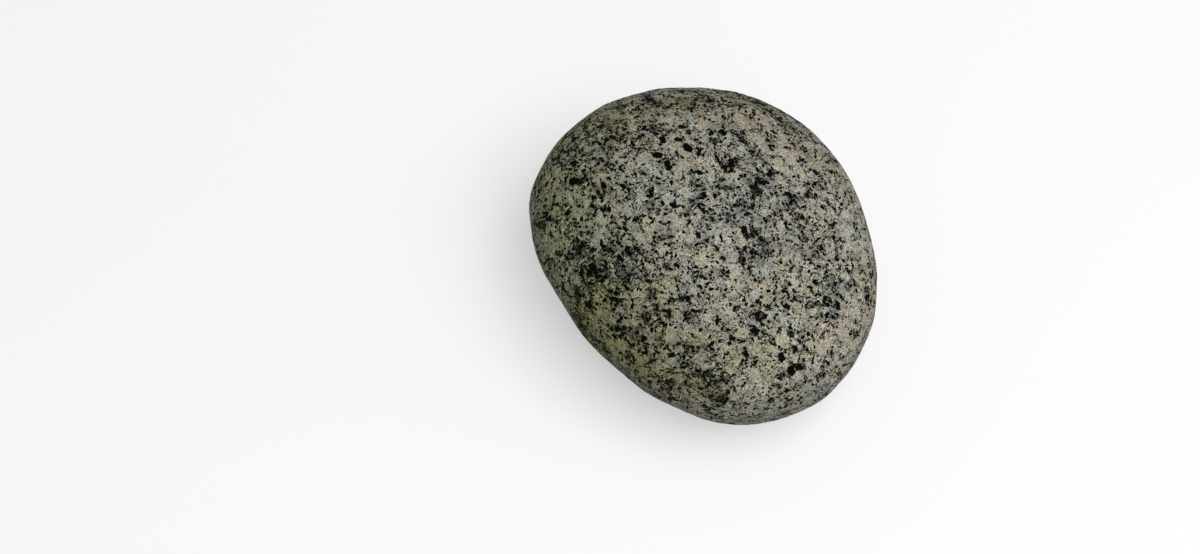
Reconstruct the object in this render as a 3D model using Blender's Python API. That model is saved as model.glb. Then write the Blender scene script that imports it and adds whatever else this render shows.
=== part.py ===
"""River pebble: one water-worn piece of speckled granite, lying on its flattest side.

Metres, +Z up. The origin is on the ground under the middle of the stone, and the stone's long axis runs along X.
"""

import math
from typing import NamedTuple

import bmesh
import bpy
from mathutils import Vector

MM = 0.001


class WornFlat(NamedTuple):
    """A soft flat that the river has worn, placed by the direction that it faces."""

    heading: float  # degrees round +Z from +X
    rise: float  # degrees above the ground plane
    distance: float  # mm from the stone's middle to the flat
    softness: float  # mm over which the flat and the round body run into each other


# How far the round body reaches from the stone's middle, in mm
REACH_AHEAD = Vector((48.0, 42.8, 31.0))  # towards +X, +Y and +Z
REACH_BEHIND = Vector((49.3, 38.2, 33.0))  # towards -X, -Y and -Z

RESTING_SIDE = WornFlat(heading=0.0, rise=-90.0, distance=28.0, softness=4.0)
LONG_SIDE = WornFlat(heading=-90.0, rise=-19.0, distance=38.5, softness=16.0)
SHOULDER = WornFlat(heading=60.0, rise=6.0, distance=42.5, softness=12.0)
BROAD_END = WornFlat(heading=16.0, rise=-4.0, distance=46.6, softness=6.0)
LOW_END = WornFlat(heading=-22.0, rise=-14.0, distance=46.6, softness=5.0)
FAR_END = WornFlat(heading=172.0, rise=26.0, distance=46.4, softness=9.0)
WORN_FLATS = (RESTING_SIDE, LONG_SIDE, SHOULDER, BROAD_END, LOW_END, FAR_END)

SPHERE_LEVEL = 5  # the icosphere's level, which gives 5,120 faces about 3 mm wide
SAME_LEVEL = 0.01 * MM  # points this near the ground are on the resting side
LEAST_FACING = 0.05  # keeps a flat's distance finite in the directions that look away from it

GRANITE_COLOUR = (0.16, 0.158, 0.128, 1.0)
GRANITE_ROUGHNESS = 0.72


def clear_scene():
    for item in list(bpy.data.objects):
        bpy.data.objects.remove(item, do_unlink=True)


def facing(flat):
    """The outward direction of a flat, as a unit vector."""
    heading = math.radians(flat.heading)
    rise = math.radians(flat.rise)
    level = math.cos(rise)
    return Vector((math.cos(heading) * level, math.sin(heading) * level, math.sin(rise)))


def round_body_reach(direction):
    """Distance in mm from the middle to the round body: an ellipsoid whose two sides reach differently far."""
    total = 0.0
    for part, ahead, behind in zip(direction, REACH_AHEAD, REACH_BEHIND):
        reach = ahead if part > 0.0 else behind
        total += (part / reach) ** 2
    return 1.0 / math.sqrt(total)


def softer_minimum(near, far, softness):
    """The smaller of two lengths, rounded off where they differ by less than the softness."""
    closeness = max(softness - abs(near - far), 0.0) / softness
    return min(near, far) - closeness**3 * softness / 6.0


def stone_reach(direction):
    """Distance in mm from the middle to the stone's surface, with every worn flat taken off the round body."""
    reach = round_body_reach(direction)
    for flat in WORN_FLATS:
        along = max(direction.dot(facing(flat)), LEAST_FACING)
        reach = softer_minimum(reach, flat.distance / along, flat.softness)
    return reach


def settle_on_ground(body):
    """Centres the stone over the origin, with its resting side level on the ground."""
    lows = [min(vert.co[axis] for vert in body.verts) for axis in range(3)]
    highs = [max(vert.co[axis] for vert in body.verts) for axis in range(3)]
    middle = Vector(((lows[0] + highs[0]) / 2, (lows[1] + highs[1]) / 2, lows[2]))
    for vert in body.verts:
        vert.co -= middle
        if vert.co.z < SAME_LEVEL:
            vert.co.z = 0.0


def make_granite():
    material = bpy.data.materials.new("granite")
    material.use_nodes = True
    shader = material.node_tree.nodes["Principled BSDF"]
    shader.inputs["Base Color"].default_value = GRANITE_COLOUR
    shader.inputs["Roughness"].default_value = GRANITE_ROUGHNESS
    shader.inputs["Metallic"].default_value = 0.0
    return material


def make_pebble(granite):
    """The stone as one closed body, smooth all over."""
    body = bmesh.new()
    bmesh.ops.create_icosphere(body, subdivisions=SPHERE_LEVEL, radius=1.0)
    for vert in body.verts:
        direction = vert.co.normalized()
        vert.co = direction * stone_reach(direction) * MM
    settle_on_ground(body)
    mesh = bpy.data.meshes.new("pebble")
    body.to_mesh(mesh)
    body.free()
    mesh.shade_smooth()
    mesh.materials.append(granite)
    pebble = bpy.data.objects.new("pebble", mesh)
    bpy.context.scene.collection.objects.link(pebble)
    return pebble


clear_scene()
make_pebble(make_granite())
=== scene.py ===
"""Looks of the river pebble: its fine worn surface, its speckled granite and a plain pale studio."""

import math

import bpy
import numpy as np
from mathutils import Matrix, Vector


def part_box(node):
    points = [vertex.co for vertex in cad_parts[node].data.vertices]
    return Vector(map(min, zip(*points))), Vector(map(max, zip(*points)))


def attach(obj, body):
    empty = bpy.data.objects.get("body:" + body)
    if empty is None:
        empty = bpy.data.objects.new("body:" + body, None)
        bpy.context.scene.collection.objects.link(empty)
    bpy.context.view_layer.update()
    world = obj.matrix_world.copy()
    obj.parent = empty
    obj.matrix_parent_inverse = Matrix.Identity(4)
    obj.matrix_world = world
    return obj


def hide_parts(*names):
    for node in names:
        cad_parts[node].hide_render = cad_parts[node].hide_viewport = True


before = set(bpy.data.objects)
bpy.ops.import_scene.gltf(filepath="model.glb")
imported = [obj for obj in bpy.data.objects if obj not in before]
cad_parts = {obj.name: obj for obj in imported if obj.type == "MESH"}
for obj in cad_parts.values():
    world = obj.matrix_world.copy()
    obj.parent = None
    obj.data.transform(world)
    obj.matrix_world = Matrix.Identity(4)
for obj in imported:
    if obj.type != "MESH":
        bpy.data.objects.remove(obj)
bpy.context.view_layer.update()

MM = 0.001

# How far the round body reaches from the stone's middle, in mm, as in the solid
REACH_AHEAD = (48.0, 42.8, 31.0)
REACH_BEHIND = (49.3, 38.2, 33.0)
HEIGHT_OF_MIDDLE = 28.0

# The flats that the river wore: heading and rise in degrees, distance and softness in mm
WORN_FLATS = {
    "resting side": (0.0, -90.0, 28.0, 4.0),
    "long side": (-90.0, -19.0, 38.5, 16.0),
    "shoulder": (60.0, 6.0, 42.5, 12.0),
    "broad end": (16.0, -4.0, 46.6, 6.0),
    "low end": (-22.0, -14.0, 46.6, 5.0),
    "far end": (172.0, 26.0, 46.4, 9.0),
}
LEAST_FACING = 0.05  # keeps a flat's distance finite in the directions that look away from it

# Shallow hollows on the stone's outline: the angle in the photograph in degrees, anticlockwise from the
# right, how many degrees the outline leans towards the camera there, the hollow's depth in mm and its width
# in degrees. A depth below zero is a low swelling.
OUTLINE_HOLLOWS = [
    (12, 9, 0.1, 10),
    (35, -8, 0.55, 8),
    (47, -10, 0.42, 8),
    (77, -15, 0.2, 8),
    (99, -14, 1.1, 14),
    (124, -11, -0.15, 7),
    (147, -10, 0.65, 10),
    (160, -6, -0.65, 8),
    (179, -4, 0.25, 5),
    (195, -3, 0.85, 12),
    (218, 5, -0.55, 14),
    (249, 11, -0.3, 8),
    (260, 12, 0.8, 11),
    (288, 12, -0.15, 8),
    (314, 6, 0.18, 5),
    (321, 6, -0.28, 6),
    (332, 9, 0.25, 6),
    (344, 11, 0.95, 9),
    (356, 9, -0.15, 5),
]

FACES_PER_SIDE = 128  # along each edge of the cube that is rounded into the stone

# The photograph's frame, and where the stone's middle lies in it
PHOTO_WIDTH = 1200
PHOTO_HEIGHT = 554
STONE_PIXEL = (704.0, 255.0)
MM_PER_PIXEL = 0.25
VIEW_HEADING = 49.0
VIEW_RISE = 62.0
LENS_MM = 70.0
SENSOR_MM = 36.0


class Chain:
    """Adds nodes to one tree. Each input is a number, a colour, a vector or another node's output."""

    def __init__(self, tree):
        self.tree = tree

    def feed(self, socket, value):
        if isinstance(value, bpy.types.NodeSocket):
            self.tree.links.new(value, socket)
        else:
            socket.default_value = value

    def node(self, kind, inputs=None, **settings):
        made = self.tree.nodes.new(kind)
        for name, value in settings.items():
            setattr(made, name, value)
        for key, value in (inputs or {}).items():
            self.feed(made.inputs[key], value)
        return made

    def math(self, operation, *values):
        return self.node("ShaderNodeMath", dict(enumerate(values)), operation=operation).outputs[0]

    def vector(self, operation, *values):
        made = self.node("ShaderNodeVectorMath", dict(enumerate(values)), operation=operation)
        return made.outputs["Value" if operation in ("DOT_PRODUCT", "LENGTH") else "Vector"]

    def scaled(self, vector, factor):
        made = self.node("ShaderNodeVectorMath", {0: vector, "Scale": factor}, operation="SCALE")
        return made.outputs["Vector"]

    def noise(self, position, detail=2.0, roughness=0.5):
        """Noise with blobs about one unit wide: its value from 0 to 1, and three such values as a vector."""
        inputs = {"Vector": position, "Scale": 1.0, "Detail": detail, "Roughness": roughness}
        made = self.node("ShaderNodeTexNoise", inputs)
        return made.outputs["Fac"], made.outputs["Color"]

    def cells(self, position, feature="F1"):
        inputs = {"Vector": position, "Scale": 1.0}
        return self.node("ShaderNodeTexVoronoi", inputs, feature=feature)

    def ramp(self, value, start, end, low=0.0, high=1.0):
        """A smooth step from low to high as the value goes from start to end."""
        inputs = {"Value": value, "From Min": start, "From Max": end, "To Min": low, "To Max": high}
        return self.node("ShaderNodeMapRange", inputs, interpolation_type="SMOOTHSTEP").outputs["Result"]

    def blend(self, factor, first, second, mode="MIX"):
        """Colour mix."""
        inputs = {"Factor_Float": factor, "A_Color": first, "B_Color": second}
        made = self.tree.nodes.new("ShaderNodeMix")
        made.data_type = "RGBA"
        made.blend_type = mode
        for socket in made.inputs:
            if socket.identifier in inputs:
                self.feed(socket, inputs[socket.identifier])
        return next(s for s in made.outputs if s.identifier == "Result_Color")

    def group(self, tree, inputs):
        kind = "GeometryNodeGroup" if self.tree.bl_idname == "GeometryNodeTree" else "ShaderNodeGroup"
        made = self.tree.nodes.new(kind)
        made.node_tree = tree
        for key, value in inputs.items():
            self.feed(made.inputs[key], value)
        return made.outputs


def new_group(name, kind, inputs, outputs):
    """A node group with named sockets: its tree, its input sockets by name, and its output node."""
    tree = bpy.data.node_groups.new(name, kind)
    for label, socket_type, value in inputs:
        socket = tree.interface.new_socket(label, in_out="INPUT", socket_type=socket_type)
        if value is not None:
            socket.default_value = value
    for label, socket_type in outputs:
        tree.interface.new_socket(label, in_out="OUTPUT", socket_type=socket_type)
    given = tree.nodes.new("NodeGroupInput").outputs
    result = tree.nodes.new("NodeGroupOutput")
    return tree, given, result


FLOAT = "NodeSocketFloat"
VECTOR = "NodeSocketVector"
COLOUR = "NodeSocketColor"
GEOMETRY = "NodeSocketGeometry"
MATERIAL = "NodeSocketMaterial"
INTEGER = "NodeSocketInt"
SHADER_TREE = "ShaderNodeTree"
GEOMETRY_TREE = "GeometryNodeTree"


def facing(heading, rise):
    heading = math.radians(heading)
    rise = math.radians(rise)
    level = math.cos(rise)
    return (math.cos(heading) * level, math.sin(heading) * level, math.sin(rise))


# The view

def view_axes():
    """The camera's right, its up, and the way from the stone towards it."""
    heading = math.radians(VIEW_HEADING)
    right = Vector((math.cos(heading), math.sin(heading), 0.0))
    back = Vector(facing(VIEW_HEADING - 90.0, VIEW_RISE))
    return right, back.cross(right), back


RIGHT, UP, BACK = view_axes()
FOCAL_PIXELS = LENS_MM / SENSOR_MM * PHOTO_WIDTH
VIEW_DISTANCE = FOCAL_PIXELS * MM_PER_PIXEL * MM

# The point from which the stone's reach is measured. The frame's origin is under the middle of its box.
STONE_MIDDLE = Vector((0.0008, -0.0029, HEIGHT_OF_MIDDLE * MM))


def camera_place():
    across = (STONE_PIXEL[0] - PHOTO_WIDTH / 2) * MM_PER_PIXEL * MM
    above = (PHOTO_HEIGHT / 2 - STONE_PIXEL[1]) * MM_PER_PIXEL * MM
    return STONE_MIDDLE - RIGHT * across - UP * above + BACK * VIEW_DISTANCE


def make_camera():
    data = bpy.data.cameras.new("camera")
    data.lens = LENS_MM
    data.sensor_width = SENSOR_MM
    data.clip_start = 0.01
    camera = bpy.data.objects.new("camera", data)
    camera.rotation_euler = BACK.to_track_quat("Z", "Y").to_euler()
    camera.location = camera_place()
    bpy.context.scene.collection.objects.link(camera)
    bpy.context.scene.camera = camera


def surface_under(stone, pixel):
    """The point of the stone that a pixel of the photograph shows."""
    across = pixel[0] - PHOTO_WIDTH / 2
    above = PHOTO_HEIGHT / 2 - pixel[1]
    direction = (RIGHT * across + UP * above - BACK * FOCAL_PIXELS).normalized()
    hit, place, _, _ = stone.ray_cast(camera_place(), direction)
    if not hit:
        raise ValueError(f"no stone under pixel {pixel}")
    return np.array(place)


# The worn form, as Geometry Nodes

def worn_flat_group():
    """Takes one soft flat off the form: the shorter of the two reaches, rounded where they meet."""
    inputs = [
        ("Direction", VECTOR, None),
        ("Reach", FLOAT, None),
        ("Facing", VECTOR, None),
        ("Distance", FLOAT, None),
        ("Softness", FLOAT, None),
    ]
    tree, given, result = new_group("worn flat", GEOMETRY_TREE, inputs, [("Reach", FLOAT)])
    make = Chain(tree)
    along = make.vector("DOT_PRODUCT", given["Direction"], given["Facing"])
    along = make.math("MAXIMUM", along, LEAST_FACING)
    flat = make.math("DIVIDE", given["Distance"], along)
    reach = make.math("SMOOTH_MIN", given["Reach"], flat, given["Softness"])
    make.feed(result.inputs["Reach"], reach)
    return tree


def shallow_hollow_group():
    """Lowers the form softly round one direction."""
    inputs = [
        ("Direction", VECTOR, None),
        ("Reach", FLOAT, None),
        ("Facing", VECTOR, None),
        ("Depth", FLOAT, None),
        ("Width", FLOAT, None),
    ]
    tree, given, result = new_group("shallow hollow", GEOMETRY_TREE, inputs, [("Reach", FLOAT)])
    make = Chain(tree)
    turned = make.math("ARCCOSINE", make.vector("DOT_PRODUCT", given["Direction"], given["Facing"]))
    share = make.math("DIVIDE", turned, given["Width"])
    share = make.math("EXPONENT", make.math("MULTIPLY", make.math("MULTIPLY", share, share), -1.0))
    lowered = make.math("SUBTRACT", given["Reach"], make.math("MULTIPLY", given["Depth"], share))
    make.feed(result.inputs["Reach"], lowered)
    return tree


def finished(make, geometry, material, result):
    """Ends a tree: instances made real, and one material on every face."""
    plain = make.node("GeometryNodeRealizeInstances", {"Geometry": geometry})
    inputs = {"Geometry": plain.outputs["Geometry"], "Material": material}
    faced = make.node("GeometryNodeSetMaterial", inputs)
    make.feed(result.inputs["Geometry"], faced.outputs["Geometry"])
    return make.tree


def stone_form_tree():
    """A cube rounded into the stone: an ellipsoid with two unlike sides, then the worn flats and hollows."""
    inputs = [
        ("Geometry", GEOMETRY, None),
        ("Faces per side", INTEGER, 8),
        ("Reach ahead", VECTOR, (1.0, 1.0, 1.0)),
        ("Reach behind", VECTOR, (1.0, 1.0, 1.0)),
        ("Granite", MATERIAL, None),
    ]
    tree, given, result = new_group("stone form", GEOMETRY_TREE, inputs, [("Geometry", GEOMETRY)])
    make = Chain(tree)
    corners = make.math("ADD", given["Faces per side"], 1.0)
    sizes = {"Size": (2.0, 2.0, 2.0), "Vertices X": corners, "Vertices Y": corners, "Vertices Z": corners}
    cube = make.node("GeometryNodeMeshCube", sizes)
    position = make.node("GeometryNodeInputPosition").outputs["Position"]
    even = make.vector("TANGENT", make.scaled(position, math.pi / 4))
    direction = make.vector("NORMALIZE", even)
    ahead = make.vector("DIVIDE", make.vector("MAXIMUM", direction, (0.0, 0.0, 0.0)), given["Reach ahead"])
    behind = make.vector("DIVIDE", make.vector("MINIMUM", direction, (0.0, 0.0, 0.0)), given["Reach behind"])
    shares = make.vector("ADD", ahead, behind)
    reach = make.math("DIVIDE", 1.0, make.vector("LENGTH", shares))
    flat_tree = worn_flat_group()
    for heading, rise, distance, softness in WORN_FLATS.values():
        sizes = {
            "Direction": direction,
            "Reach": reach,
            "Facing": facing(heading, rise),
            "Distance": distance,
            "Softness": softness,
        }
        reach = make.group(flat_tree, sizes)["Reach"]
    hollow_tree = shallow_hollow_group()
    for angle, lean, depth, width in OUTLINE_HOLLOWS:
        angle = math.radians(angle)
        lean = math.radians(lean)
        flat_way = RIGHT * math.cos(angle) + UP * math.sin(angle)
        sizes = {
            "Direction": direction,
            "Reach": reach,
            "Facing": tuple(flat_way * math.cos(lean) + BACK * math.sin(lean)),
            "Depth": depth,
            "Width": math.radians(width),
        }
        reach = make.group(hollow_tree, sizes)["Reach"]
    place = make.scaled(direction, make.math("MULTIPLY", reach, MM))
    moved = make.node("GeometryNodeSetPosition", {"Geometry": cube.outputs["Mesh"], "Position": place})
    smooth = make.node("GeometryNodeSetShadeSmooth", {"Geometry": moved.outputs["Geometry"]})
    return finished(make, smooth.outputs["Geometry"], given["Granite"], result)


# The minerals, in both kinds of tree, so that the relief follows the same grains as the colour

# The grains are longer along this fixed direction, which is the photograph's line of sight, and this many
# times. It is a choice for the crisp dashes near the rim there, not something seen on the stone.
GRAIN_AXIS = BACK
GRAIN_LENGTH = 1.6

# How wide each thing is that varies over the rock, in mm
FELDSPAR_WIDTH = 3.2
DARK_PATCH_WIDTH = 8.5
CRYSTAL_EDGE_WIDTH = 0.7
AREA_WIDTH = 22
TINT_WIDTH = 12
CLOUD_WIDTH = 3.3
FLECK_WIDTH = 0.36
RUST_WIDTH = 2.8
FILM_EDGE_WIDTH = 0.5

# Three sizes of random shift that stir the grains: the shift's own width and how far it moves them, in mm
STIRS = ((9.0, 2.0), (2.2, 1.7), (0.6, 0.5))


def rock_place(make, position):
    """Position in mm in the rock, shortened along the grain axis, which makes the grains longer there."""
    along = make.vector("DOT_PRODUCT", position, tuple(GRAIN_AXIS))
    cut = make.math("MULTIPLY", along, 1 / GRAIN_LENGTH - 1)
    return make.scaled(make.vector("ADD", position, make.scaled(tuple(GRAIN_AXIS), cut)), 1 / MM)


def stirred_group(kind):
    """Position in mm, shifted a little at random, so that no grain has a straight edge."""
    tree, given, result = new_group("stirred", kind, [("Position", VECTOR, None)], [("Position", VECTOR)])
    make = Chain(tree)
    moved = given["Position"]
    for width, shift in STIRS:
        colour = make.noise(make.scaled(given["Position"], 1 / width))[1]
        way = make.vector("SUBTRACT", colour, (0.5, 0.5, 0.5))
        moved = make.vector("ADD", moved, make.scaled(way, shift))
    make.feed(result.inputs["Position"], moved)
    return tree


def grain_group(kind):
    """Grains of one mineral: a share of the cells, gathered in clusters and along a coarser set of joints.

    The mask goes from 0 to 1 over a narrow ragged edge. Fill and Tightness keep a grain to the middle
    of its cell.
    """
    inputs = [
        ("Position", VECTOR, None),
        ("Grain size", FLOAT, 1.0),
        ("Share", FLOAT, 0.2),
        ("Clustering", FLOAT, 1.0),
        ("Cluster size", FLOAT, 4.0),
        ("Along joints", FLOAT, 0.0),
        ("Joint spacing", FLOAT, 3.6),
        ("Fill", FLOAT, 0.4),
        ("Tightness", FLOAT, 0.8),
        ("Raggedness", FLOAT, 0.3),
        ("Edge", FLOAT, 0.05),
        ("Seed", FLOAT, 0.0),
    ]
    outputs = [("Mask", FLOAT), ("Random", FLOAT), ("Cluster", FLOAT)]
    tree, given, result = new_group("mineral grains", kind, inputs, outputs)
    make = Chain(tree)
    offset = make.scaled((17.3, -9.1, 5.7), given["Seed"])
    inverse = make.math("DIVIDE", 1.0, given["Grain size"])
    cell_space = make.vector("ADD", make.scaled(given["Position"], inverse), offset)
    cells = make.cells(cell_space)
    home = make.scaled(make.vector("SUBTRACT", cells.outputs["Position"], offset), given["Grain size"])
    chance = make.vector("DOT_PRODUCT", cells.outputs["Color"], (1.0, 0.0, 0.0))
    shade = make.vector("DOT_PRODUCT", cells.outputs["Color"], (0.0, 1.0, 0.0))
    cluster_space = make.scaled(home, make.math("DIVIDE", 1.0, given["Cluster size"]))
    cluster = make.noise(make.vector("ADD", cluster_space, offset), detail=2.0)[0]
    cluster = make.math("MULTIPLY", make.math("SUBTRACT", cluster, 0.5), given["Clustering"])
    joint_space = make.scaled(home, make.math("DIVIDE", 1.0, given["Joint spacing"]))
    to_joint = make.cells(joint_space, "DISTANCE_TO_EDGE").outputs["Distance"]
    joint = make.math("MULTIPLY", make.ramp(to_joint, 0.04, 0.26, 1.0, -0.4), given["Along joints"])
    ragged_space = make.scaled(given["Position"], make.math("DIVIDE", 2.2, given["Grain size"]))
    ragged = make.noise(ragged_space, detail=2.0, roughness=0.6)[0]
    ragged = make.math("MULTIPLY", make.math("MULTIPLY_ADD", ragged, 2.0, -1.0), given["Raggedness"])
    off_centre = make.math("MAXIMUM", make.math("SUBTRACT", cells.outputs["Distance"], given["Fill"]), 0.0)
    score = make.math("ADD", make.math("ADD", make.math("ADD", chance, cluster), joint), ragged)
    score = make.math("SUBTRACT", score, make.math("MULTIPLY", off_centre, given["Tightness"]))
    bar = make.math("SUBTRACT", 1.0, given["Share"])
    mask = make.ramp(score, make.math("SUBTRACT", bar, given["Edge"]), make.math("ADD", bar, given["Edge"]))
    make.feed(result.inputs["Mask"], mask)
    make.feed(result.inputs["Random"], shade)
    make.feed(result.inputs["Cluster"], cluster)
    return tree


def dark_flakes(make, stirred, grains, position, zone, edge):
    """Black mica and hornblende: 1 where a flake, a crystal or a listed mark shows.

    The zone adds flakes, and the edge is the distance in mm to the nearest mark.
    """
    warped = make.group(stirred, {"Position": position})["Position"]
    patchy = make.noise(make.scaled(position, 1 / DARK_PATCH_WIDTH), detail=1.0)[0]
    zone = make.math("ADD", zone, make.math("MULTIPLY_ADD", patchy, 1.3, -0.64))
    dense = make.math("MINIMUM", zone, 0.55)
    flakes = make.group(grains, {
        "Position": warped,
        "Grain size": 0.74,
        "Share": make.math("MULTIPLY_ADD", dense, 0.3, 0.19),
        "Clustering": 0.96,
        "Cluster size": 3.4,
        "Along joints": 0.19,
        "Joint spacing": FELDSPAR_WIDTH,
        "Raggedness": 0.44,
        "Edge": 0.015,
        "Seed": 1.0,
    })
    crystals = make.group(grains, {
        "Position": warped,
        "Grain size": 2.3,
        "Share": make.math("MULTIPLY_ADD", dense, 0.08, 0.028),
        "Clustering": 0.3,
        "Fill": 0.27,
        "Tightness": 2.0,
        "Raggedness": 0.2,
        "Edge": 0.03,
        "Seed": 4.0,
    })
    ragged = make.noise(make.scaled(position, 1 / CRYSTAL_EDGE_WIDTH), detail=3.0, roughness=0.65)[0]
    ragged = make.math("MULTIPLY_ADD", ragged, 1.7, -0.85)
    mark = make.ramp(make.math("ADD", edge, ragged), -0.04, 0.04, 1.0, 0.0)
    dark = make.math("MAXIMUM", make.math("MAXIMUM", flakes["Mask"], crystals["Mask"]), mark)
    return dark, flakes["Cluster"], zone, warped


# Where the photograph shows more dark grains or fewer: pixel, reach in pixels across and up, and how much
DARK_ZONES = [
    (606, 265, 34, 22, 0.8),
    (579, 250, 8, 9, 0.3),
    (604, 200, 16, 12, 0.3),
    (584, 300, 14, 18, 0.2),
    (596, 152, 20, 16, 0.25),
    (770, 248, 20, 12, 0.4),
    (792, 204, 18, 14, 0.35),
    (675, 320, 18, 10, 0.3),
    (572, 160, 20, 20, 0.3),
    (640, 212, 26, 22, 0.4),
    (690, 304, 24, 14, 0.3),
    (728, 272, 14, 12, 0.3),
    (640, 368, 16, 12, 0.3),
    (766, 296, 20, 12, -0.3),
    (704, 344, 14, 12, -0.35),
    (776, 224, 12, 10, -0.3),
    (628, 273, 12, 6, 0.4),
    (600, 150, 40, 34, 0.2),
    (550, 200, 22, 56, 0.2),
    (572, 180, 14, 16, 0.3),
    (618, 134, 26, 18, 0.35),
    (581, 322, 22, 26, 0.5),
    (800, 130, 20, 12, 0.2),
    (700, 98, 80, 12, 0.3),
    (652, 128, 22, 14, 0.1),
    (735, 204, 20, 17, 0.4),
    (800, 248, 22, 32, 0.35),
    (622, 308, 18, 14, 0.3),
    (690, 180, 16, 12, 0.12),
    (775, 110, 26, 12, 0.3),
    (768, 183, 14, 9, 0.25),
    (750, 245, 12, 16, 0.25),
    (650, 348, 32, 24, 0.2),
    (690, 395, 40, 16, 0.3),
    (712, 376, 18, 6, 0.4),
    (835, 280, 12, 16, 0.2),
    (672, 265, 16, 13, -0.35),
    (680, 170, 30, 20, -0.12),
    (690, 215, 30, 14, -0.15),
    (728, 345, 16, 30, -0.35),
    (776, 205, 14, 18, -0.35),
    (765, 392, 26, 10, -0.35),
    (845, 345, 30, 50, -0.25),
    (780, 345, 34, 20, -0.3),
    (753, 386, 12, 9, -0.6),
    (640, 290, 14, 8, -0.3),
    (857, 230, 14, 40, -0.15),
]

# Bluish quartz, in the same terms
QUARTZ_ZONES = [
    (734, 202, 26, 20, 1.1),
    (765, 178, 20, 16, 0.7),
    (800, 205, 22, 22, 0.5),
    (750, 145, 26, 14, 0.5),
    (760, 245, 22, 18, 0.5),
    (800, 245, 18, 16, 0.5),
    (835, 282, 18, 26, 0.6),
    (757, 317, 10, 8, 0.8),
    (603, 264, 26, 20, 0.4),
    (815, 388, 40, 16, 0.6),
    (860, 290, 24, 70, 0.4),
    (690, 290, 16, 20, 0.4),
    (625, 200, 26, 24, 0.3),
]

# Olive algae stain, in the same terms
STAIN_ZONES = [
    (560, 225, 40, 84, 0.75),
    (625, 220, 40, 60, 0.3),
    (600, 130, 50, 30, 0.4),
    (640, 360, 60, 40, 0.3),
    (600, 348, 36, 42, 0.55),
    (606, 284, 30, 24, 0.4),
    (718, 397, 24, 12, 0.3),
    (583, 326, 22, 34, 0.25),
]

# Brownish earth stain, in the same terms
EARTH_ZONES = [
    (645, 345, 42, 34, 0.75),
    (690, 385, 44, 22, 0.65),
    (655, 295, 26, 22, 0.5),
    (625, 115, 44, 22, 0.6),
    (682, 103, 24, 9, 0.9),
    (583, 326, 22, 34, 0.4),
    (698, 344, 16, 14, 0.5),
    (590, 300, 26, 40, 0.5),
    (622, 372, 38, 34, 0.3),
    (745, 352, 26, 12, 0.4),
]

# Warm buff feldspar, in the same terms
BUFF_ZONES = [
    (690, 118, 44, 20, 0.9),
    (760, 112, 44, 18, 0.9),
    (805, 150, 30, 34, 0.6),
    (700, 150, 34, 18, 0.4),
    (765, 300, 34, 34, 0.35),
    (760, 360, 34, 22, 0.5),
    (775, 215, 16, 14, 0.5),
    (850, 230, 30, 34, 0.4),
    (850, 330, 34, 60, 0.6),
]

# Paler ground, or darker where the strength is below zero, in the same terms
PALE_ZONES = [
    (754, 386, 12, 9, 1.2),
    (745, 372, 8, 7, 0.4),
    (562, 236, 16, 30, 0.7),
    (584, 178, 14, 12, 0.4),
    (597, 297, 18, 12, 0.6),
    (652, 324, 12, 12, 0.6),
    (752, 320, 12, 10, 0.5),
    (574, 290, 16, 18, 0.5),
    (620, 344, 14, 12, 0.6),
    (596, 152, 18, 14, -0.6),
    (776, 248, 24, 12, -1.0),
    (740, 224, 16, 10, -0.5),
    (788, 200, 20, 14, -0.5),
    (764, 176, 14, 12, -0.4),
    (678, 320, 22, 12, -0.7),
    (620, 200, 14, 14, -0.5),
]

# Spots of rust, in the same terms
RUST_ZONES = [
    (650, 262, 6, 5, 0.6),
    (642, 317, 8, 4, 0.5),
    (657, 290, 8, 6, 0.2),
    (696, 117, 5, 4, 0.8),
    (749, 119, 8, 6, 0.9),
    (742, 108, 9, 5, 0.9),
    (794, 310, 5, 3, 0.8),
    (780, 386, 6, 4, 0.9),
    (733, 398, 8, 5, 0.4),
    (545, 240, 5, 5, 0.5),
    (650, 100, 20, 6, 0.3),
]

# Single dark crystals that stand out in the photograph: from pixel to pixel, and width in pixels
DARK_CRYSTALS = [
    (656, 154, 659, 155, 6.5),
    (662, 138, 663, 141, 4.6),
    (677, 139, 681, 140, 4.0),
    (686, 146, 689, 149, 6.5),
    (698, 148, 699, 151, 3.2),
    (722, 131, 724, 133, 5.0),
    (725, 166, 725, 168, 4.5),
    (731, 160, 732, 165, 5.0),
    (698, 172, 701, 173, 4.0),
    (672, 204, 675, 206, 4.6),
    (650, 192, 651, 195, 3.0),
    (667, 162, 669, 168, 4.5),
    (755, 330, 757, 331, 5.0),
    (731, 338, 733, 339, 4.4),
    (785, 306, 789, 307, 4.0),
    (838, 304, 839, 308, 4.6),
    (790, 369, 792, 373, 5.6),
    (781, 355, 782, 359, 4.6),
    (745, 353, 747, 355, 4.4),
    (603, 184, 604, 187, 4.0),
    (571, 180, 573, 183, 5.0),
    (592, 266, 594, 268, 5.5),
    (587, 305, 589, 306, 5.5),
    (752, 102, 756, 103, 4.6),
    (778, 119, 781, 121, 5.0),
    (761, 183, 767, 182, 4.2),
]

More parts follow.
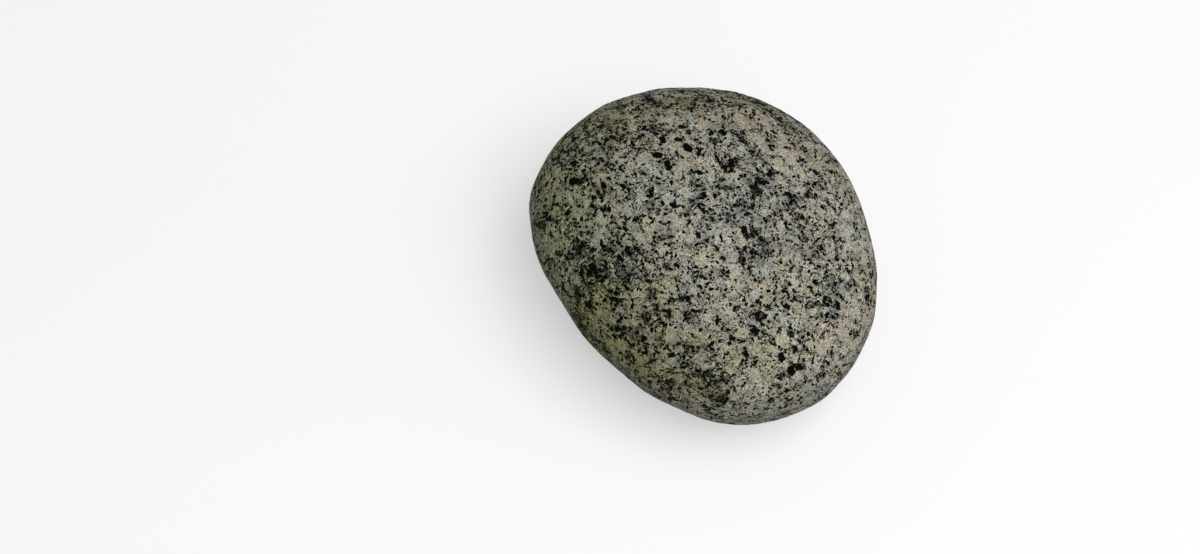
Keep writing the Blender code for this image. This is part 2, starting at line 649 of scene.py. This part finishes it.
# Streaks and clots of small flakes, in the same terms
FLAKE_STREAKS = [
    (642, 146, 640, 153, 5.0),
    (624, 156, 635, 150, 6.0),
    (766, 140, 773, 151, 3.5),
    (773, 155, 784, 158, 3.0),
    (749, 181, 757, 190, 6.0),
    (720, 189, 735, 187, 4.0),
    (636, 247, 649, 260, 6.0),
    (577, 244, 581, 256, 8.0),
    (657, 239, 672, 235, 6.0),
    (670, 244, 676, 246, 6.0),
    (618, 274, 638, 274, 4.0),
    (647, 281, 656, 281, 2.5),
    (681, 296, 691, 297, 5.0),
    (675, 300, 688, 299, 2.5),
    (653, 305, 660, 313, 4.0),
    (615, 327, 643, 327, 3.0),
    (690, 312, 703, 310, 2.5),
    (716, 342, 730, 343, 4.0),
    (736, 340, 748, 341, 6.0),
    (752, 315, 762, 318, 7.0),
    (717, 321, 728, 332, 5.0),
    (807, 306, 816, 303, 4.5),
    (790, 323, 792, 337, 3.5),
    (799, 338, 804, 347, 4.5),
    (811, 353, 813, 362, 4.0),
    (797, 366, 804, 367, 5.0),
    (694, 374, 709, 375, 6.5),
    (720, 381, 734, 377, 7.0),
    (776, 384, 781, 386, 5.0),
    (740, 250, 743, 268, 4.0),
    (744, 228, 746, 238, 5.0),
    (597, 208, 608, 208, 5.0),
    (700, 101, 712, 99, 4.0),
    (672, 104, 678, 104, 4.0),
    (740, 113, 752, 118, 4.0),
    (584, 128, 588, 133, 5.0),
    (786, 193, 792, 195, 6.0),
    (810, 196, 816, 197, 5.0),
    (827, 202, 831, 206, 5.0),
    (864, 280, 866, 290, 5.0),
    (853, 332, 857, 336, 6.0),
    (733, 138, 737, 146, 4.0),
]


# The zones of each mineral and stain, apart from the dark ones
OTHER_ZONES = {
    "quartz": QUARTZ_ZONES,
    "stain": STAIN_ZONES,
    "earth": EARTH_ZONES,
    "buff": BUFF_ZONES,
    "pale": PALE_ZONES,
    "rust": RUST_ZONES,
}

INWARD_REACH = 1.5  # how deep a zone reaches into the stone, in times the greater of its two reaches
UNSEEN_BLEND = 0.4  # change in the cosine of the angle to the view over which the unseen side begins
FAR_FROM_MARKS = 5.0  # mm, the greatest distance to a mark that is kept
CRYSTAL_MARGIN = 0.14  # mm added all round, since vertices 0.5 mm apart cut off a small crystal's middle
STREAK_EDGE = 0.5  # mm over which a streak fades
STREAK_STRENGTH = 0.9


def vertex_places(stone):
    places = np.empty(len(stone.data.vertices) * 3, np.float32)
    stone.data.vertices.foreach_get("co", places)
    return places.reshape(-1, 3).astype(float)


def store(stone, name, values):
    layer = stone.data.attributes.new(name, "FLOAT", "POINT")
    layer.data.foreach_set("value", values.astype(np.float32))


def zone_weight(stone, places, zones):
    """The sum of soft round zones, each as wide and as high as the photograph shows it."""
    total = np.zeros(len(places))
    for x, y, across, above, strength in zones:
        away = (places - surface_under(stone, (x, y))) / (MM_PER_PIXEL * MM)
        sideways = away @ np.array(RIGHT) / across
        upwards = away @ np.array(UP) / above
        inwards = away @ np.array(BACK) / (INWARD_REACH * max(across, above))
        total += strength * np.exp(-(sideways**2 + upwards**2 + inwards**2))
    return total


def unseen_side(places):
    """1 where the surface is turned away from the photograph, and 0 where it shows."""
    outwards = places - np.array(STONE_MIDDLE)
    towards = outwards @ np.array(BACK) / np.linalg.norm(outwards, axis=1)
    return np.clip(0.5 - towards / UNSEEN_BLEND, 0.0, 1.0)


def distance_to_marks(stone, places, marks):
    """Distance in mm from each point of the surface to the edge of the nearest mark, negative inside it."""
    nearest = np.full(len(places), FAR_FROM_MARKS)
    for x0, y0, x1, y1, width in marks:
        start = surface_under(stone, (x0, y0))
        run = surface_under(stone, (x1, y1)) - start
        share = np.clip((places - start) @ run / (run @ run), 0.0, 1.0)
        away = np.linalg.norm(places - start - share[:, None] * run, axis=1) / MM
        nearest = np.minimum(nearest, away - width / 2 * MM_PER_PIXEL)
    return nearest


# The relief, as Geometry Nodes

RELIEF_SEED = 0.0


def relief_tree(stirred, grains):
    """Lifts and lowers the surface: broad unevenness, a fine grain, and a shallow pit at each dark grain."""
    inputs = [
        ("Geometry", GEOMETRY, None),
        ("Broad height", FLOAT, 0.0004),
        ("Broad width", FLOAT, 0.024),
        ("Grain height", FLOAT, 0.0002),
        ("Grain width", FLOAT, 0.0021),
        ("Pit depth", FLOAT, 0.00013),
        ("Unseen rise", FLOAT, 3.0),
        ("Seed", FLOAT, 0.0),
        ("Granite", MATERIAL, None),
    ]
    tree, given, result = new_group("grain relief", GEOMETRY_TREE, inputs, [("Geometry", GEOMETRY)])
    make = Chain(tree)
    position = make.node("GeometryNodeInputPosition").outputs["Position"]
    normal = make.node("GeometryNodeInputNormal").outputs["Normal"]
    zone = make.node("GeometryNodeInputNamedAttribute", {"Name": "dark_zone"}, data_type="FLOAT")
    edge = make.node("GeometryNodeInputNamedAttribute", {"Name": "mark_edge"}, data_type="FLOAT")
    unseen = make.node("GeometryNodeInputNamedAttribute", {"Name": "unseen"}, data_type="FLOAT")
    waves = []
    for size in ("Broad", "Grain"):
        spread = make.scaled(position, make.math("DIVIDE", 1.0, given[size + " width"]))
        spread = make.vector("ADD", spread, make.scaled((3.7, 1.3, -2.9), given["Seed"]))
        wave = make.math("MULTIPLY_ADD", make.noise(spread, detail=2.0)[0], 2.0, -1.0)
        waves.append(make.math("MULTIPLY", wave, given[size + " height"]))
    behind = make.ramp(unseen.outputs["Attribute"], 0.55, 1.0, 0.0, given["Unseen rise"])
    height = make.math("MULTIPLY_ADD", waves[0], behind, make.math("ADD", waves[0], waves[1]))
    place = rock_place(make, position)
    dark = dark_flakes(make, stirred, grains, place, zone.outputs["Attribute"], edge.outputs["Attribute"])[0]
    height = make.math("SUBTRACT", height, make.math("MULTIPLY", dark, given["Pit depth"]))
    moved = make.node("GeometryNodeSetPosition", {
        "Geometry": given["Geometry"],
        "Offset": make.scaled(normal, height),
    })
    lifted = make.node("GeometryNodeInputPosition").outputs["Position"]
    level = make.node("GeometryNodeSetPosition", {
        "Geometry": moved.outputs["Geometry"],
        "Position": make.vector("MAXIMUM", lifted, (-1.0, -1.0, 0.0)),
    })
    return finished(make, level.outputs["Geometry"], given["Granite"], result)


def apply_nodes(piece, tree, values):
    """Runs a Geometry Nodes tree on a piece and keeps the outcome as its plain mesh."""
    modifier = piece.modifiers.new(tree.name, "NODES")
    modifier.node_group = tree
    names = {s.name: s.identifier for s in tree.interface.items_tree if s.in_out == "INPUT"}
    for name, value in values.items():
        modifier[names[name]] = value
    bpy.context.view_layer.update()
    depsgraph = bpy.context.evaluated_depsgraph_get()
    mesh = bpy.data.meshes.new_from_object(
        piece.evaluated_get(depsgraph), preserve_all_data_layers=True, depsgraph=depsgraph
    )
    piece.modifiers.remove(modifier)
    piece.data = mesh
    mesh.name = piece.name


# The granite

def srgb(red, green, blue):
    """A colour as a screen gives it, from 0 to 255, turned into light."""
    light = []
    for value in (red, green, blue):
        value = value / 255
        light.append(value / 12.92 if value <= 0.04045 else ((value + 0.055) / 1.055) ** 2.4)
    return (*light, 1.0)


CREAM = srgb(149, 145, 127)
PALE_GREY = srgb(148, 147, 137)
BUFF = srgb(151, 142, 126)
QUARTZ = srgb(110, 113, 109)
SMOKY = srgb(60, 61, 58)
MICA = srgb(3, 4, 3)
HORNBLENDE = srgb(15, 17, 13)
OLIVE = srgb(231, 240, 208)
EARTH = srgb(226, 223, 188)
RUST = srgb(112, 90, 62)
# The colour of the painted highlights on the glinting grains
PAINTED_GLINT_WHITE = srgb(185, 185, 178)


def attribute(make, name):
    return make.node("ShaderNodeAttribute", attribute_name=name, attribute_type="GEOMETRY").outputs["Fac"]


def make_granite():
    material = bpy.data.materials.new("granite_speckled")
    material.use_nodes = True
    tree = material.node_tree
    shader = tree.nodes["Principled BSDF"]
    make = Chain(tree)
    stirred = stirred_group(SHADER_TREE)
    grains = grain_group(SHADER_TREE)
    object_place = make.node("ShaderNodeTexCoord").outputs["Object"]
    position = rock_place(make, object_place)
    zone = attribute(make, "dark_zone")
    edge = attribute(make, "mark_edge")
    flake, cluster, zone, warped = dark_flakes(make, stirred, grains, position, zone, edge)

    # Where a mineral or a stain gathers: as the photograph shows it, and at random on the unseen side
    wide = make.noise(make.scaled(position, 1 / AREA_WIDTH), detail=1.0)[1]
    unseen = attribute(make, "unseen")
    areas = {}
    turns = {
        "quartz": (1.0, 0.0, 0.0),
        "stain": (0.0, 1.0, 0.0),
        "buff": (0.0, 0.0, 1.0),
        "earth": (-0.6, 0.8, 0.8),
    }
    for name, axis in turns.items():
        chance = make.ramp(make.vector("DOT_PRODUCT", wide, axis), 0.48, 0.68, 0.0, 0.42)
        areas[name] = make.math("MULTIPLY_ADD", chance, unseen, attribute(make, name + "_zone"))

    # Feldspar: pale grains about 3 mm wide, each with a tint and a tone of its own
    feldspar_space = make.scaled(warped, 1 / FELDSPAR_WIDTH)
    feldspar = make.cells(feldspar_space)
    tint = make.vector("DOT_PRODUCT", feldspar.outputs["Color"], (1.0, 0.0, 0.0))
    tone = make.vector("DOT_PRODUCT", feldspar.outputs["Color"], (0.0, 1.0, 0.0))
    region = make.noise(make.scaled(position, 1 / TINT_WIDTH), detail=2.0)[0]
    grey = make.math("ADD", make.math("MULTIPLY", tint, 0.6), make.ramp(region, 0.3, 0.7, -0.3, 0.3))
    grey = make.math("MULTIPLY_ADD", areas["quartz"], 0.4, grey)
    colour = make.blend(make.ramp(grey, 0.05, 0.6), CREAM, PALE_GREY)
    buff = make.math("SUBTRACT", areas["buff"], areas["stain"])
    buff = make.math("MULTIPLY_ADD", buff, 0.5, tone)
    colour = make.blend(make.ramp(buff, 0.75, 1.15, 0.0, 0.9), colour, BUFF)
    cloud = make.noise(make.scaled(position, 1 / CLOUD_WIDTH), detail=5.0, roughness=0.75)[0]
    fleck = make.noise(make.scaled(position, 1 / FLECK_WIDTH), detail=2.0, roughness=0.7)[0]
    light = make.math("ADD", make.ramp(cloud, 0.3, 0.7, 0.79, 1.13), make.math("MULTIPLY", tone, 0.12))
    light = make.math("MULTIPLY", light, make.ramp(fleck, 0.28, 0.72, 0.38, 1.54))
    light = make.math("MULTIPLY", light, make.math("MULTIPLY_ADD", areas["stain"], 0.1, 1.0))
    light = make.math("MULTIPLY", light, make.math("MULTIPLY_ADD", attribute(make, "pale_zone"), 0.25, 1.0))

    # Quartz: bluish grey patches, a little darker than the feldspar
    quartz = make.group(grains, {
        "Position": warped,
        "Grain size": 2.0,
        "Share": make.math("MULTIPLY_ADD", areas["quartz"], 0.5, 0.12),
        "Clustering": 1.2,
        "Cluster size": 7.0,
        "Raggedness": 0.3,
        "Edge": 0.12,
        "Seed": 3.0,
    })
    colour = make.blend(make.math("MULTIPLY", quartz["Mask"], 0.7), colour, QUARTZ)

    # Smoky grey where the dark grains cluster
    smoke = make.math("MULTIPLY_ADD", zone, 0.3, cluster)
    smoke = make.math("MULTIPLY_ADD", make.math("SUBTRACT", cloud, 0.5), -0.7, smoke)
    smoke = make.ramp(smoke, -0.01, 0.41, 0.0, 0.74)
    colour = make.blend(smoke, colour, SMOKY)

    # Stains: olive where algae grew, brownish earth, and spots of rust
    stain = make.math("MULTIPLY_ADD", make.math("SUBTRACT", cloud, 0.5), 0.8, areas["stain"])
    colour = make.blend(make.ramp(stain, 0.0, 0.9), colour, OLIVE, "MULTIPLY")
    earth = make.math("MULTIPLY_ADD", make.math("SUBTRACT", cloud, 0.5), -1.2, areas["earth"])
    colour = make.blend(make.ramp(earth, 0.0, 1.0), colour, EARTH, "MULTIPLY")
    rust = make.noise(make.scaled(warped, 1 / RUST_WIDTH), detail=3.0, roughness=0.7)[0]
    rust = make.math("MULTIPLY_ADD", attribute(make, "rust_zone"), 0.28, rust)
    colour = make.blend(make.ramp(rust, 0.62, 0.76, 0.0, 0.6), colour, RUST)

    # Painted highlights: a few grains whitened in the colour, as glints where they catch the light
    painted_glint = make.group(grains, {
        "Position": warped,
        "Grain size": 0.42,
        "Share": 0.06,
        "Clustering": 0.5,
        "Cluster size": 9.0,
        "Raggedness": 0.1,
        "Seed": 5.0,
    })
    colour = make.blend(make.math("MULTIPLY", painted_glint["Mask"], 0.6), colour, PAINTED_GLINT_WHITE)

    # Pepper: dark grains under half a millimetre, and thin films along the feldspar's joints
    pepper = make.group(grains, {
        "Position": warped,
        "Grain size": 0.41,
        "Share": make.math("MULTIPLY_ADD", make.math("MINIMUM", zone, 0.7), 0.4, 0.165),
        "Clustering": 1.2,
        "Cluster size": 3.1,
        "Along joints": 0.2,
        "Joint spacing": FELDSPAR_WIDTH,
        "Raggedness": 0.3,
        "Edge": 0.03,
        "Seed": 2.0,
    })
    faint = make.math("MULTIPLY", pepper["Mask"], make.ramp(pepper["Random"], 0.0, 0.5, 0.62, 1.0))
    to_joint = make.cells(feldspar_space, "DISTANCE_TO_EDGE").outputs["Distance"]
    ragged = make.noise(make.scaled(position, 1 / FILM_EDGE_WIDTH), detail=1.0)[0]
    film = make.ramp(make.math("MULTIPLY_ADD", ragged, 0.3, to_joint), 0.16, 0.2, 1.0, 0.0)
    film = make.math("MULTIPLY", film, make.ramp(cluster, -0.02, 0.16, 0.0, 0.75))
    dark = make.math("MAXIMUM", make.math("MAXIMUM", flake, faint), film)

    lit = make.scaled(colour, light)
    dark_tone = make.blend(make.ramp(fleck, 0.5, 0.75), MICA, HORNBLENDE)
    lit = make.blend(dark, lit, dark_tone)

    make.feed(shader.inputs["Base Color"], lit)
    rough = make.math("MULTIPLY_ADD", fleck, 0.2, 0.62)
    make.feed(shader.inputs["Roughness"], make.math("MULTIPLY_ADD", dark, -0.1, rough))
    shader.inputs["Specular IOR Level"].default_value = 0.03
    height = make.math("ADD", cloud, make.math("MULTIPLY", fleck, 0.7))
    height = make.math("MULTIPLY_ADD", dark, -0.7, height)
    bump = make.node("ShaderNodeBump", {"Strength": 0.8, "Distance": 0.00022, "Height": height})
    make.feed(shader.inputs["Normal"], bump.outputs["Normal"])
    return material


def make_stone():
    """The stone's fine surface, which stands for the plain solid."""
    granite = make_granite()
    stone = bpy.data.objects.new("river_stone", bpy.data.meshes.new("river_stone"))
    bpy.context.scene.collection.objects.link(stone)
    apply_nodes(stone, stone_form_tree(), {
        "Faces per side": FACES_PER_SIDE,
        "Reach ahead": REACH_AHEAD,
        "Reach behind": REACH_BEHIND,
        "Granite": granite,
    })
    low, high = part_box("pebble")
    places = vertex_places(stone)
    middle = (places.min(axis=0) + places.max(axis=0)) / 2
    shift = (np.array(low) + np.array(high)) / 2 - middle
    shift[2] = HEIGHT_OF_MIDDLE * MM
    stone.data.transform(Matrix.Translation(shift))
    places = vertex_places(stone)
    bpy.context.view_layer.update()
    streaks = np.clip(0.5 - distance_to_marks(stone, places, FLAKE_STREAKS) / STREAK_EDGE, 0.0, 1.0)
    store(stone, "dark_zone", zone_weight(stone, places, DARK_ZONES) + STREAK_STRENGTH * streaks)
    for name, zones in OTHER_ZONES.items():
        store(stone, name + "_zone", zone_weight(stone, places, zones))
    store(stone, "unseen", unseen_side(places))
    store(stone, "mark_edge", distance_to_marks(stone, places, DARK_CRYSTALS) - CRYSTAL_MARGIN)
    relief = relief_tree(stirred_group(GEOMETRY_TREE), grain_group(GEOMETRY_TREE))
    apply_nodes(stone, relief, {"Granite": granite, "Seed": RELIEF_SEED})
    return stone


# The studio

FLOOR_HALF = 6.0  # m
FLOOR_COLOUR = (0.45, 0.45, 0.45, 1.0)  # as it lights the stone from below

# The floor as the camera sees it: a colour with a lift on top, so that its shadows stay light
FLOOR_SEEN = (0.42, 0.42, 0.42, 1.0)
FLOOR_LIFT = 0.48

# The sky's strength as it lights the stone, and as the camera sees it
SKY_STRENGTH = 0.34
SKY_SEEN = 0.92

# The lamps: the way to each, as shares to the camera's right, level towards the camera and up, then the
# width in m and the watts
LAMPS = {
    "key": (0.27, 0.27, 0.85, 0.9, 15.0),
    "fill": (0.9, 0.1, 0.3, 0.7, 1.3),
}
LAMP_DISTANCE = 1.2  # m from the stone's middle


def make_floor():
    mesh = bpy.data.meshes.new("floor")
    corners = [(x * FLOOR_HALF, y * FLOOR_HALF, 0) for x, y in ((-1, -1), (1, -1), (1, 1), (-1, 1))]
    mesh.from_pydata(corners, [], [(0, 1, 2, 3)])
    floor = bpy.data.objects.new("floor", mesh)
    material = bpy.data.materials.new("pale_floor")
    material.use_nodes = True
    shader = material.node_tree.nodes["Principled BSDF"]
    shader.inputs["Roughness"].default_value = 1.0
    shader.inputs["Specular IOR Level"].default_value = 0.0
    shader.inputs["Emission Color"].default_value = (1.0, 1.0, 1.0, 1.0)
    make = Chain(material.node_tree)
    seen = make.node("ShaderNodeLightPath").outputs["Is Camera Ray"]
    make.feed(shader.inputs["Base Color"], make.blend(seen, FLOOR_COLOUR, FLOOR_SEEN))
    make.feed(shader.inputs["Emission Strength"], make.math("MULTIPLY", seen, FLOOR_LIFT))
    mesh.materials.append(material)
    bpy.context.scene.collection.objects.link(floor)


def make_lamp(name, towards, size, watts):
    data = bpy.data.lights.new(name, "AREA")
    data.size = size
    data.energy = watts
    lamp = bpy.data.objects.new(name, data)
    direction = Vector(towards).normalized()
    lamp.location = STONE_MIDDLE + direction * LAMP_DISTANCE
    lamp.rotation_euler = direction.to_track_quat("Z", "Y").to_euler()
    bpy.context.scene.collection.objects.link(lamp)


def make_studio():
    make_floor()
    level = Vector((BACK.x, BACK.y, 0.0)).normalized()
    for name, (across, ahead, above, size, watts) in LAMPS.items():
        make_lamp(name, RIGHT * across + level * ahead + Vector((0, 0, above)), size, watts)
    world = bpy.data.worlds.new("studio")
    bpy.context.scene.world = world
    world.use_nodes = True
    world.node_tree.nodes["Background"].inputs["Color"].default_value = (1.0, 1.0, 1.0, 1.0)
    make = Chain(world.node_tree)
    seen = make.node("ShaderNodeLightPath").outputs["Is Camera Ray"]
    strength = make.ramp(seen, 0.0, 1.0, SKY_STRENGTH, SKY_SEEN)
    make.feed(world.node_tree.nodes["Background"].inputs["Strength"], strength)
    bpy.context.scene.view_settings.view_transform = "Standard"


make_camera()
stone = make_stone()
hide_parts("pebble")
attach(stone, "root")
make_studio()
